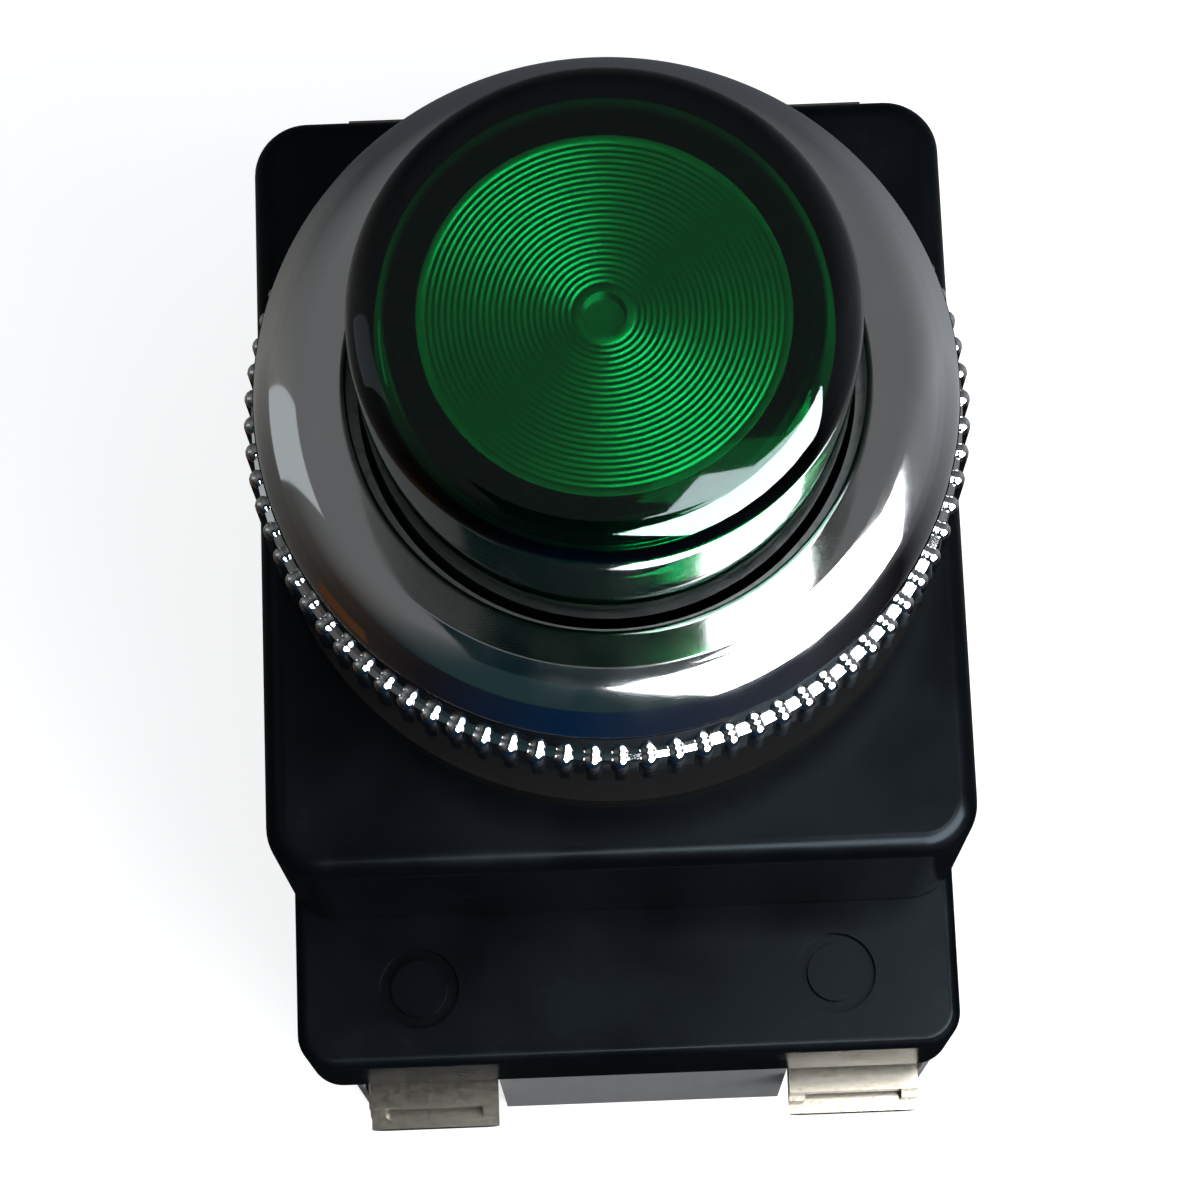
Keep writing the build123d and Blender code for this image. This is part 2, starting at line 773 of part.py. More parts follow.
save(make_lens(), "lens")
save(make_marking_plate(), "marking_plate")
save(make_lens_holder(), "lens_holder")
save(make_operator_sleeve(), "operator_sleeve")
save(make_wiper_seal(), "wiper_seal")
save(make_bezel_ring(), "bezel_ring")
save(make_front_gasket(), "front_gasket")
save(make_anti_rotation_washer(), "anti_rotation_washer")
save(make_front_housing(), "front_housing")
save(make_adapter(), "rear_housing")
save(make_housing_screws(), "housing_screws")
save(make_block_screws(), "block_screws")
save(make_contact_block_body(), "contact_block_body")
save(make_contact_carriage(), "contact_carriage")
save(make_bridge(-contact_x, no_bridge_z, -1), "no_bridge")
save(make_bridge(contact_x, nc_bridge_z, 1), "nc_bridge")
save(coil(spring_radius, spring_wire, 5, adapter_front_z, holder_flange_z), "return_spring")
carriage_spring = coil(carriage_spring_radius, carriage_spring_wire, 4, block_floor, carriage_spring_top)
save(beside(carriage_spring), "carriage_spring")
no_low = no_bridge_z + bridge_thickness
no_spring = coil(contact_spring_radius, contact_spring_wire, 3, no_low, no_window_top, -contact_x)
nc_spring = coil(contact_spring_radius, contact_spring_wire, 3, nc_window_low, nc_bridge_z, contact_x)
save(beside(no_spring), "no_contact_spring")
save(beside(nc_spring), "nc_contact_spring")
for sx, sy in corners:
    kind = "no" if sx < 0 else "nc"
    end = "lower" if sy < 0 else "upper"
    save(make_terminal(sx, sy, sx < 0), f"{kind}_terminal_{end}")
    save(make_saddle_clamp(sx, sy), f"{kind}_clamp_{end}")
    save(make_terminal_screw(sx, sy), f"{kind}_screw_{end}")
save(make_lamp_socket_body(), "lamp_socket_body")
save(make_lamp_socket_shell(), "lamp_socket_shell")
save(make_lamp_socket_contact(), "lamp_socket_contact")
save(make_lamp_tip(), "lamp_tip")
save(make_lamp_insulator(), "lamp_insulator")
save(make_lamp_base(), "lamp_base")
save(make_lamp_bulb(), "lamp_bulb")
save(make_lamp_terminal(-1), "lamp_terminal_lower")
save(make_lamp_terminal(1), "lamp_terminal_upper")
save(make_lamp_terminal_screws(), "lamp_terminal_screws")
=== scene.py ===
from math import cos, pi, radians, sin

import bmesh
import bpy
from bpy.props import FloatProperty, FloatVectorProperty, IntProperty, PointerProperty
from mathutils import Matrix, Vector


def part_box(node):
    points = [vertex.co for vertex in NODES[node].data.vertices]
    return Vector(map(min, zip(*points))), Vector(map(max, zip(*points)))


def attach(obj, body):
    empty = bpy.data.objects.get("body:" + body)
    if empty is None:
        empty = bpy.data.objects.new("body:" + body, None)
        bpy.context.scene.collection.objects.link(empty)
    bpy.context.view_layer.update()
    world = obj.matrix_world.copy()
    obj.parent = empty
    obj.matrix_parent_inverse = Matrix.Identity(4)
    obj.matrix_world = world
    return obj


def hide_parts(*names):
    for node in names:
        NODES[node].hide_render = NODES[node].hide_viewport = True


bl_info = {
    "name": "Illuminated pushbutton switch",
    "version": (1, 0, 0),
    "blender": (4, 5, 0),
    "location": "View3D > Sidebar > Switch",
    "description": "Dresses the packed pushbutton switch and sets up its studio",
    "category": "Object",
}

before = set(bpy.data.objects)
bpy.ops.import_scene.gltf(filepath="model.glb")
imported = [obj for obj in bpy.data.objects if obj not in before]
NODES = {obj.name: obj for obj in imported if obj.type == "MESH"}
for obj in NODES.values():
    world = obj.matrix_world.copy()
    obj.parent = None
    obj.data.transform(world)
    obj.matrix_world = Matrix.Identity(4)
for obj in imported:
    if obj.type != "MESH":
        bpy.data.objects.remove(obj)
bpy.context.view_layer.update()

MM = 0.001

# The tone that the studio shows to reflections, by direction in degrees from +X: light grey on both sides,
# dark brown at the front left, deep blue in front and near black at the front right
SURROUNDINGS = (
    (-180, "#5A5A58"), (-155, "#38302A"), (-130, "#1C1A1E"), (-100, "#0A2846"), (-50, "#3C3E46"),
    (-25, "#1A181A"), (15, "#B0B2B6"), (60, "#585C60"), (125, "#46484C"), (160, "#868680"), (180, "#5A5A58"),
)
OVERHEAD = "#777777"
LOW_IN_FRONT = "#293F42"

# Glowing cards that only reflections see: name, centre and size in metres, colour and strength
LIGHT_CARDS = (
    ("window_card", (0.26, -0.245, 0.35), (0.47, 0.54), "#FDFEFF", 36.0),
    ("ceiling_card", (0.139, -0.045, 0.66), (0.188, 0.24), "#FFFFFF", 14.0),
    ("left_card", (-0.09, 0.01, 0.1), (0.031, 0.085), "#F7FDFF", 0.6),
    ("warm_card", (-0.037, -0.022, 0.046), (0.01, 0.012), "#8A5A3C", 0.35),
    ("dark_card", (-0.023, -0.07, 0.29), (0.106, 0.14), "#10272B", 1.0),
)

# Cards that run all round the switch, each row a line of (radius, height) in metres that is turned about Z
MAT_ROWS = (((0.012, 0.0004), (0.052, 0.0006)),)
MAT_COLOUR = "#121314"
RING_ROWS = (((0.052, 0.001), (0.052, 0.06)), ((0.12, 0.001), (0.12, 0.084)))

# The camera stands 210 mm in front of the locking ring and is tilted down
CAMERA_PLACE = (-0.77 * MM, -58.7 * MM, 256.9 * MM)
CAMERA_TILT = radians(13.5)
CAMERA_ROLL = radians(2.2)
CAMERA_LENS_MM = 113.7
CAMERA_SENSOR_MM = 36.0

# Sockets of a Mix node on colours, by number, because their names repeat
MIX_A = 6
MIX_B = 7
MIX_RESULT = 2


def hex_linear(code, alpha=None):
    """An sRGB hex colour as linear RGB, with an alpha if one is asked for."""
    channels = []
    for start in (1, 3, 5):
        value = int(code[start:start + 2], 16) / 255
        channels.append(value / 12.92 if value <= 0.04045 else ((value + 0.055) / 1.055) ** 2.4)
    return tuple(channels) if alpha is None else (*channels, alpha)


def shade(colour, share):
    """The colour times a share, kept within 0 and 1."""
    return tuple(min(1.0, channel * share) for channel in colour[:3])


def low(node):
    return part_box(node)[0]


def high(node):
    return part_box(node)[1]


class SwitchSizes(bpy.types.PropertyGroup):
    """Sizes that a user may change"""

    lens_radius: FloatProperty(
        name="Lens radius",
        description="Outside radius of the moulded lens",
        default=high("lens").x,
        unit="LENGTH",
        precision=5,
    )
    lens_wall: FloatProperty(
        name="Lens wall",
        description="Thickness of the lens at its skirt",
        default=1.6 * MM,
        unit="LENGTH",
        precision=5,
    )
    lens_shoulder: FloatProperty(
        name="Lens shoulder",
        description="Radius of the round shoulder of the lens",
        default=1.8 * MM,
        unit="LENGTH",
        precision=5,
    )
    lens_crown: FloatProperty(
        name="Lens crown",
        description="Rise of the crowned top of the lens",
        default=0.5 * MM,
        unit="LENGTH",
        precision=5,
    )
    lens_top_wall: FloatProperty(
        name="Lens top wall",
        description="Thickness of the lens at its top",
        default=2.4 * MM,
        unit="LENGTH",
        precision=5,
    )
    groove_pitch: FloatProperty(
        name="Groove pitch",
        description="Distance between the turned rings of the marking plate",
        default=0.32 * MM,
        unit="LENGTH",
        precision=5,
    )
    groove_depth: FloatProperty(
        name="Groove depth",
        description="Depth of the turned rings of the marking plate",
        default=0.068 * MM,
        unit="LENGTH",
        precision=6,
    )
    knurl_radius: FloatProperty(
        name="Knurl radius",
        description="Radius of each round tooth of the locking ring",
        default=0.56 * MM,
        unit="LENGTH",
        precision=5,
    )
    thread_pitch: FloatProperty(
        name="Thread pitch",
        description="Pitch of the neck's screw thread",
        default=1.5 * MM,
        unit="LENGTH",
        precision=5,
    )
    thread_depth: FloatProperty(
        name="Thread depth",
        description="Depth of the neck's screw thread",
        default=0.8 * MM,
        unit="LENGTH",
        precision=5,
    )
    ring_round: FloatProperty(
        name="Ring round",
        description="Radius of the round shoulder of the locking ring",
        default=3.5 * MM,
        unit="LENGTH",
        precision=5,
    )
    ring_foot: FloatProperty(
        name="Ring foot",
        description="Outside radius of the domed front of the locking ring at its foot",
        default=19.15 * MM,
        unit="LENGTH",
        precision=5,
    )
    knurl_teeth: IntProperty(
        name="Knurl teeth",
        description="Round teeth on the edge of the locking ring",
        default=80,
        min=24,
        max=120,
    )


class SwitchColours(bpy.types.PropertyGroup):
    """Colours that a user may change"""

    lens: FloatVectorProperty(
        name="Lens",
        description="Tint of the clear green lens",
        subtype="COLOR",
        default=hex_linear("#56E8D4"),
        min=0.0,
        max=1.0,
    )
    housing: FloatVectorProperty(
        name="Housing",
        description="Black plastic of the housings",
        subtype="COLOR",
        default=hex_linear("#070A0E"),
        min=0.0,
        max=1.0,
    )
    block: FloatVectorProperty(
        name="Contact block",
        description="Grey plastic of the contact block",
        subtype="COLOR",
        default=hex_linear("#767778"),
        min=0.0,
        max=1.0,
    )
    chrome: FloatVectorProperty(
        name="Chrome",
        description="Chrome plate of the locking ring",
        subtype="COLOR",
        default=hex_linear("#C8CACC"),
        min=0.0,
        max=1.0,
    )


def sizes():
    return bpy.context.scene.switch_sizes


def colours():
    return bpy.context.scene.switch_colours


# Materials

def add_node(tree, kind, settings=(), inputs=(), stops=()):
    """Adds a node with its settings. An input is a socket to link or a value, and a colour ramp takes stops."""
    node = tree.nodes.new(kind)
    for key, value in dict(settings).items():
        setattr(node, key, value)
    for key, value in dict(inputs).items():
        if isinstance(value, bpy.types.NodeSocket):
            tree.links.new(value, node.inputs[key])
        else:
            node.inputs[key].default_value = value
    if stops:
        elements = node.color_ramp.elements
        while len(elements) < len(stops):
            elements.new(0.5)
        for element, (position, colour) in zip(elements, stops):
            element.position = position
            element.color = (*colour[:3], 1.0)
    return node


def new_material(name):
    """An empty node material, with its node tree and its output node."""
    material = bpy.data.materials.new(name)
    material.use_nodes = True
    tree = material.node_tree
    tree.nodes.clear()
    return material, tree, add_node(tree, "ShaderNodeOutputMaterial")


def surroundings(tree, direction):
    """The tone that the studio shows in a direction, and that direction as a share of a turn."""
    turn = add_node(tree, "ShaderNodeTexGradient", {"gradient_type": "RADIAL"}, {"Vector": direction})
    tone = add_node(tree, "ShaderNodeValToRGB", inputs={"Fac": turn.outputs["Fac"]}, stops=[
        (degrees / 360 + 0.5, hex_linear(code)) for degrees, code in SURROUNDINGS
    ])
    return tone.outputs["Color"], turn.outputs["Fac"]


def black_plastic(name, colour, roughness, grain):
    """Black thermoplastic from a spark-eroded mould: a fine grain, a cloudy gloss and a sheen with a painted
    cool tint.
    """
    material, tree, out = new_material(name)
    place = add_node(tree, "ShaderNodeTexCoord").outputs["Object"]
    cloud = 7.0 * MM
    # The real grain is a few hundredths of a millimetre, and is drawn about ten times as coarse to show
    fine = add_node(tree, "ShaderNodeTexNoise", inputs={
        "Vector": place, "Scale": 1 / grain, "Detail": 3.0, "Roughness": 0.6,
    })
    broad = add_node(tree, "ShaderNodeTexNoise", inputs={
        "Vector": place, "Scale": 1 / cloud, "Detail": 4.0, "Roughness": 0.55,
    })
    tint = add_node(tree, "ShaderNodeValToRGB", inputs={"Fac": broad.outputs["Fac"]}, stops=[
        (0.35, shade(colour, 0.85)), (0.65, shade(colour, 1.2)),
    ])
    gloss = add_node(tree, "ShaderNodeMapRange", inputs={
        "Value": broad.outputs["Fac"], "From Min": 0.3, "From Max": 0.7,
        "To Min": roughness - 0.05, "To Max": roughness + 0.07,
    })
    bump = add_node(tree, "ShaderNodeBump", inputs={
        "Height": fine.outputs["Fac"], "Strength": 0.12, "Distance": 0.02 * MM,
    })
    shader = add_node(tree, "ShaderNodeBsdfPrincipled", inputs={
        "Base Color": tint.outputs["Color"], "Roughness": gloss.outputs["Result"],
        "Normal": bump.outputs["Normal"], "IOR": 1.5, "Specular IOR Level": 0.06,
        # The blue specular tint is painted light: it stands for the bluish light that the plastic reflects
        "Specular Tint": hex_linear("#DDF1FF", 1.0),
    })
    tree.links.new(shader.outputs["BSDF"], out.inputs["Surface"])
    return material


def grey_plastic():
    """Moulded glass-filled grey thermoplastic: matt, with faint flow streaks along the depth of the mould."""
    material, tree, out = new_material("glass_filled_grey_plastic")
    place = add_node(tree, "ShaderNodeTexCoord").outputs["Object"]
    colour = colours().block
    streak_width = 0.9 * MM
    grain = 0.25 * MM
    stretched = add_node(tree, "ShaderNodeMapping", inputs={"Vector": place, "Scale": (1.0, 1.0, 0.08)})
    streaks = add_node(tree, "ShaderNodeTexNoise", inputs={
        "Vector": stretched.outputs["Vector"], "Scale": 1 / streak_width, "Detail": 3.0, "Roughness": 0.6,
    })
    fine = add_node(tree, "ShaderNodeTexNoise", inputs={"Vector": place, "Scale": 1 / grain, "Detail": 2.0})
    tint = add_node(tree, "ShaderNodeValToRGB", inputs={"Fac": streaks.outputs["Fac"]}, stops=[
        (0.3, shade(colour, 0.93)), (0.55, colour), (0.72, shade(colour, 1.06)),
    ])
    bump = add_node(tree, "ShaderNodeBump", inputs={
        "Height": fine.outputs["Fac"], "Strength": 0.4, "Distance": 0.02 * MM,
    })
    shader = add_node(tree, "ShaderNodeBsdfPrincipled", inputs={
        "Base Color": tint.outputs["Color"], "Roughness": 0.55, "Normal": bump.outputs["Normal"],
        "IOR": 1.55, "Specular IOR Level": 0.3,
    })
    tree.links.new(shader.outputs["BSDF"], out.inputs["Surface"])
    return material


def chrome_plate():
    """Bright chrome over polished nickel: nearly a mirror, with the last traces of buffing in its gloss."""
    material, tree, out = new_material("bright_chrome_plate")
    place = add_node(tree, "ShaderNodeTexCoord").outputs["Object"]
    buffing = 3.0 * MM
    haze = add_node(tree, "ShaderNodeTexNoise", inputs={
        "Vector": place, "Scale": 1 / buffing, "Detail": 5.0, "Roughness": 0.6,
    })
    gloss = add_node(tree, "ShaderNodeMapRange", inputs={
        "Value": haze.outputs["Fac"], "From Min": 0.35, "From Max": 0.7, "To Min": 0.05, "To Max": 0.1,
    })
    shader = add_node(tree, "ShaderNodeBsdfPrincipled", inputs={
        "Base Color": (*colours().chrome, 1.0), "Metallic": 1.0, "Roughness": gloss.outputs["Result"],
    })
    tree.links.new(shader.outputs["BSDF"], out.inputs["Surface"])
    return material


def plated_metal(name, base, dark, roughness, speck):
    """Barrel-plated metal: a satin face with small darker specks where the plate is thin."""
    material, tree, out = new_material(name)
    place = add_node(tree, "ShaderNodeTexCoord").outputs["Object"]
    spots = add_node(tree, "ShaderNodeTexNoise", inputs={
        "Vector": place, "Scale": 1 / speck, "Detail": 4.0, "Roughness": 0.65,
    })
    tint = add_node(tree, "ShaderNodeValToRGB", inputs={"Fac": spots.outputs["Fac"]}, stops=[
        (0.28, hex_linear(dark)), (0.46, hex_linear(base)), (0.75, shade(hex_linear(base), 1.08)),
    ])
    gloss = add_node(tree, "ShaderNodeMapRange", inputs={
        "Value": spots.outputs["Fac"], "From Min": 0.35, "From Max": 0.65,
        "To Min": roughness + 0.06, "To Max": roughness,
    })
    bump = add_node(tree, "ShaderNodeBump", inputs={
        "Height": spots.outputs["Fac"], "Strength": 0.04, "Distance": 0.02 * MM,
    })
    shader = add_node(tree, "ShaderNodeBsdfPrincipled", inputs={
        "Base Color": tint.outputs["Color"], "Metallic": 1.0, "Roughness": gloss.outputs["Result"],
        "Normal": bump.outputs["Normal"],
    })
    tree.links.new(shader.outputs["BSDF"], out.inputs["Surface"])
    return material


def rubber():
    """Moulded nitrile rubber: near black and matt, with a dusty bloom."""
    material, tree, out = new_material("nitrile_rubber")
    place = add_node(tree, "ShaderNodeTexCoord").outputs["Object"]
    bloom_width = 1.4 * MM
    bloom = add_node(tree, "ShaderNodeTexNoise", inputs={
        "Vector": place, "Scale": 1 / bloom_width, "Detail": 5.0, "Roughness": 0.6,
    })
    tint = add_node(tree, "ShaderNodeValToRGB", inputs={"Fac": bloom.outputs["Fac"]}, stops=[
        (0.35, hex_linear("#050506")), (0.7, hex_linear("#0B0C0D")),
    ])
    bump = add_node(tree, "ShaderNodeBump", inputs={
        "Height": bloom.outputs["Fac"], "Strength": 0.3, "Distance": 0.03 * MM,
    })
    shader = add_node(tree, "ShaderNodeBsdfPrincipled", inputs={
        "Base Color": tint.outputs["Color"], "Roughness": 0.65, "Normal": bump.outputs["Normal"],
        "Specular IOR Level": 0.03,
    })
    tree.links.new(shader.outputs["BSDF"], out.inputs["Surface"])
    return material


def lens_plastic():
    """Clear green acrylic, moulded and polished. Its dye deepens with the depth that light has to cross."""
    material, tree, out = new_material("clear_green_acrylic")
    place = add_node(tree, "ShaderNodeTexCoord").outputs["Object"]
    ripple_width = 6.0 * MM
    ripple = add_node(tree, "ShaderNodeTexNoise", inputs={
        "Vector": place, "Scale": 1 / ripple_width, "Detail": 2.0,
    })
    bump = add_node(tree, "ShaderNodeBump", inputs={
        "Height": ripple.outputs["Fac"], "Strength": 0.12, "Distance": 0.05 * MM,
    })
    clear = add_node(tree, "ShaderNodeBsdfPrincipled", inputs={
        "Base Color": hex_linear("#F4FBF7", 1.0), "Roughness": 0.03, "IOR": 1.49,
        "Transmission Weight": 1.0, "Specular Tint": hex_linear("#DAEAF3", 1.0),
        "Normal": bump.outputs["Normal"],
    })
    through = add_node(tree, "ShaderNodeBsdfTransparent")
    path = add_node(tree, "ShaderNodeLightPath")
    mixed = add_node(tree, "ShaderNodeMixShader", inputs={
        "Fac": path.outputs["Is Shadow Ray"], 1: clear.outputs["BSDF"], 2: through.outputs["BSDF"],
    })
    dye = add_node(tree, "ShaderNodeVolumeAbsorption", inputs={
        "Color": (*colours().lens, 1.0), "Density": 2300.0,
    })
    tree.links.new(mixed.outputs["Shader"], out.inputs["Surface"])
    tree.links.new(dye.outputs["Volume"], out.inputs["Volume"])
    return material


def turned_disc():
    """Pearl-white plate under the lens, faced on a lathe: satin, with the tool's rings in its own shape."""
    material, tree, out = new_material("turned_pearl_disc")
    shader = add_node(tree, "ShaderNodeBsdfPrincipled", inputs={
        "Base Color": hex_linear("#8C979E", 1.0), "Metallic": 1.0, "Roughness": 0.33,
    })
    tree.links.new(shader.outputs["BSDF"], out.inputs["Surface"])
    return material


def bulb_glass():
    """Small blown lamp dome, frosted inside: it glows evenly and hides the filament."""
    material, tree, out = new_material("frosted_lamp_glass")
    shader = add_node(tree, "ShaderNodeBsdfPrincipled", inputs={
        "Base Color": hex_linear("#E9EFE8", 1.0), "Roughness": 0.35, "IOR": 1.5,
        "Transmission Weight": 0.6,
    })
    tree.links.new(shader.outputs["BSDF"], out.inputs["Surface"])
    return material


def white_card():
    """Matt white card, a little self-lit so that it stays white behind the switch and in its reflections."""
    material, tree, out = new_material("white_card")
    path = add_node(tree, "ShaderNodeLightPath").outputs
    seen = add_node(tree, "ShaderNodeMath", {"operation": "MAXIMUM"}, {
        0: path["Is Camera Ray"], 1: path["Is Glossy Ray"],
    })
    seen = add_node(tree, "ShaderNodeMath", {"operation": "MAXIMUM"}, {
        0: seen.outputs["Value"], 1: path["Is Transmission Ray"],
    })
    glow = add_node(tree, "ShaderNodeMath", {"operation": "MULTIPLY"}, {0: seen.outputs["Value"], 1: 0.73})
    shader = add_node(tree, "ShaderNodeBsdfPrincipled", inputs={
        "Base Color": hex_linear("#CBCBCB", 1.0), "Roughness": 0.9, "Specular IOR Level": 0.0,
        "Emission Color": hex_linear("#FFFFFF", 1.0), "Emission Strength": glow.outputs["Value"],
    })
    tree.links.new(shader.outputs["BSDF"], out.inputs["Surface"])
    return material


def glowing_card(name, strength=1.0, code=None):
    """Studio card that glows evenly in one colour, or else in the tones of the surroundings."""
    material, tree, out = new_material(name)
    if code is None:
        place = add_node(tree, "ShaderNodeTexCoord").outputs["Object"]
        colour = surroundings(tree, place)[0]
    else:
        colour = hex_linear(code, 1.0)
    glow = add_node(tree, "ShaderNodeEmission", inputs={"Color": colour, "Strength": strength})
    tree.links.new(glow.outputs["Emission"], out.inputs["Surface"])
    return material


def dress(material, *names):
    """Puts one material on carried-over nodes or new pieces."""
    for name in names:
        piece = NODES.get(name) or bpy.data.objects[name]
        slots = piece.data.materials
        if len(slots):
            slots[0] = material
        else:
            slots.append(material)


# Shapes

def turned_mesh(bm, outline, rounded=(), steps=192):
    """Spins a closed outline of (radius, height) corners. rounded gives (corner, radius, segments)."""
    corners = [bm.verts.new((r, 0.0, z)) for r, z in outline]
    bm.faces.new(corners)
    for index, radius, segments in rounded:
        bmesh.ops.bevel(
            bm, geom=[corners[index]], offset=radius, offset_type="OFFSET", segments=segments,
            profile=0.5, affect="VERTICES", material=-1,
        )
    bmesh.ops.delete(bm, geom=list(bm.faces), context="FACES_ONLY")
    on_axis = [e for e in bm.edges if max(abs(v.co.x) for v in e.verts) < 1e-7]
    bmesh.ops.delete(bm, geom=on_axis, context="EDGES")
    bmesh.ops.spin(
        bm, geom=list(bm.edges) + list(bm.verts), cent=(0, 0, 0), axis=(0, 0, 1),
        dvec=(0, 0, 0), angle=2 * pi, steps=steps, use_merge=True, use_duplicate=False,
    )
    bmesh.ops.remove_doubles(bm, verts=list(bm.verts), dist=1e-7)
    loose = [v for v in bm.verts if not v.link_faces]
    bmesh.ops.delete(bm, geom=loose, context="VERTS")
    bmesh.ops.recalc_face_normals(bm, faces=list(bm.faces))


def join_mesh(bm, other):
    """Adds the other mesh to bm and frees it."""
    mesh = bpy.data.meshes.new("joined")
    other.to_mesh(mesh)
    other.free()
    bm.from_mesh(mesh)
    bpy.data.meshes.remove(mesh)


def add_object(name, bm):
    """Turns the mesh into an object of the scene."""
    mesh = bpy.data.meshes.new(name)
    bm.to_mesh(mesh)
    bm.free()
    piece = bpy.data.objects.new(name, mesh)
    bpy.context.scene.collection.objects.link(piece)
    return piece


def make_piece(name, bm, body, replaced, angle):
    """Makes a smooth piece that rides on a body and stands for a node. Edges past the angle stay sharp."""
    piece = add_object(name, bm)
    mesh = piece.data
    mesh.polygons.foreach_set("use_smooth", [True] * len(mesh.polygons))
    mesh.set_sharp_from_angle(angle=radians(angle))
    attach(piece, body)
    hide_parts(replaced)


class SWITCH_OT_housings(bpy.types.Operator):
    """Finishes the housings, the contact block and the rubber parts"""

    bl_idname = "switch.housings"
    bl_label = "Housings and block"

    def execute(self, context):
        front = black_plastic("front_housing_black_plastic", colours().housing, 0.22, 0.3 * MM)
        rear = black_plastic("rear_housing_black_plastic", colours().housing, 0.22, 0.22 * MM)
        dress(front, "front_housing")
        dress(rear, "rear_housing", "lens_holder", "contact_carriage", "lamp_socket_body")
        dress(grey_plastic(), "contact_block_body")
        dress(rubber(), "front_gasket", "anti_rotation_washer", "wiper_seal")
        return {"FINISHED"}


class SWITCH_OT_metalwork(bpy.types.Operator):
    """Finishes the screws, terminals, contacts, springs and lamp"""

    bl_idname = "switch.metalwork"
    bl_label = "Screws, terminals and springs"

    def execute(self, context):
        zinc = plated_metal("zinc_plated_steel", "#A9ABA8", "#6B6C69", 0.3, 0.5 * MM)
        nickel = plated_metal("nickel_plated_brass", "#8B877E", "#7A746A", 0.17, 0.35 * MM)
        brass = plated_metal("contact_brass", "#C2A15A", "#8A6D38", 0.32, 0.6 * MM)
        steel = plated_metal("spring_steel", "#9A9C9E", "#65676A", 0.28, 0.8 * MM)
        for kind in ("no", "nc"):
            for end in ("lower", "upper"):
                dress(nickel, f"{kind}_terminal_{end}", f"{kind}_clamp_{end}")
                dress(zinc, f"{kind}_screw_{end}")
        dress(nickel, "lamp_terminal_lower", "lamp_terminal_upper")
        dress(zinc, "housing_screws", "block_screws", "lamp_terminal_screws", "lamp_tip")
        dress(brass, "no_bridge", "nc_bridge", "lamp_socket_shell", "lamp_socket_contact", "lamp_base")
        dress(steel, "return_spring", "carriage_spring", "no_contact_spring", "nc_contact_spring")
        resin = black_plastic("lamp_insulator_resin", hex_linear("#14110F"), 0.3, 0.3 * MM)
        dress(resin, "lamp_insulator")
        dress(bulb_glass(), "lamp_bulb")
        return {"FINISHED"}


class SWITCH_OT_lens(bpy.types.Operator):
    """Makes the clear lens cap"""

    bl_idname = "switch.lens"
    bl_label = "Lens"

    def execute(self, context):
        s = sizes()
        bottom, top = low("lens").z, high("lens").z
        outer, inner = s.lens_radius, s.lens_radius - s.lens_wall
        inner_round = 0.6 * MM
        edge_z = top - s.lens_crown
        inner_top = top - s.lens_top_wall
        outline = [(inner, bottom), (outer, bottom), (outer, edge_z)]
        shoulder = len(outline) - 1
        crown_shares = (0.75, 0.5, 0.25, 0.0)
        for share in crown_shares:
            outline.append((share * outer, top - s.lens_crown * share ** 2))
        for share in (*reversed(crown_shares), 1.0):
            outline.append((share * inner, inner_top - s.lens_crown * share ** 2))
        bm = bmesh.new()
        turned_mesh(bm, outline, [(shoulder, s.lens_shoulder, 14), (len(outline) - 1, inner_round, 6)])
        make_piece("lens_cap", bm, "button", "lens", angle=50.0)
        dress(lens_plastic(), "lens_cap")
        return {"FINISHED"}


class SWITCH_OT_marking_plate(bpy.types.Operator):
    """Makes the turned plate under the lens, with a dimple at its centre"""

    bl_idname = "switch.marking_plate"
    bl_label = "Marking plate"

    def execute(self, context):
        s = sizes()
        radius, top, bottom = high("marking_plate").x, high("marking_plate").z, low("marking_plate").z
        rim = 0.3 * MM
        centre = 1.5 * MM
        dimple_gap = 0.35 * MM
        dimple_slope = 0.15 * MM
        dimple_z = top - 0.7 * MM
        points_per_groove = 6
        grooves = int((radius - centre) / s.groove_pitch)
        outline = [(0.0, bottom), (radius, bottom), (radius, top)]
        for point in range(points_per_groove * grooves + 1):
            turns = point / points_per_groove
            depth = s.groove_depth * (0.5 - 0.5 * cos(2 * pi * turns))
            outline.append((radius - rim - turns * s.groove_pitch, top - depth))
        dimple = radius - rim - grooves * s.groove_pitch - dimple_gap
        outline += [(dimple, top), (dimple - dimple_slope, dimple_z), (0.0, dimple_z)]
        bm = bmesh.new()
        turned_mesh(bm, outline, steps=144)
        make_piece("turned_plate", bm, "button", "marking_plate", angle=60.0)
        dress(turned_disc(), "turned_plate")
        return {"FINISHED"}


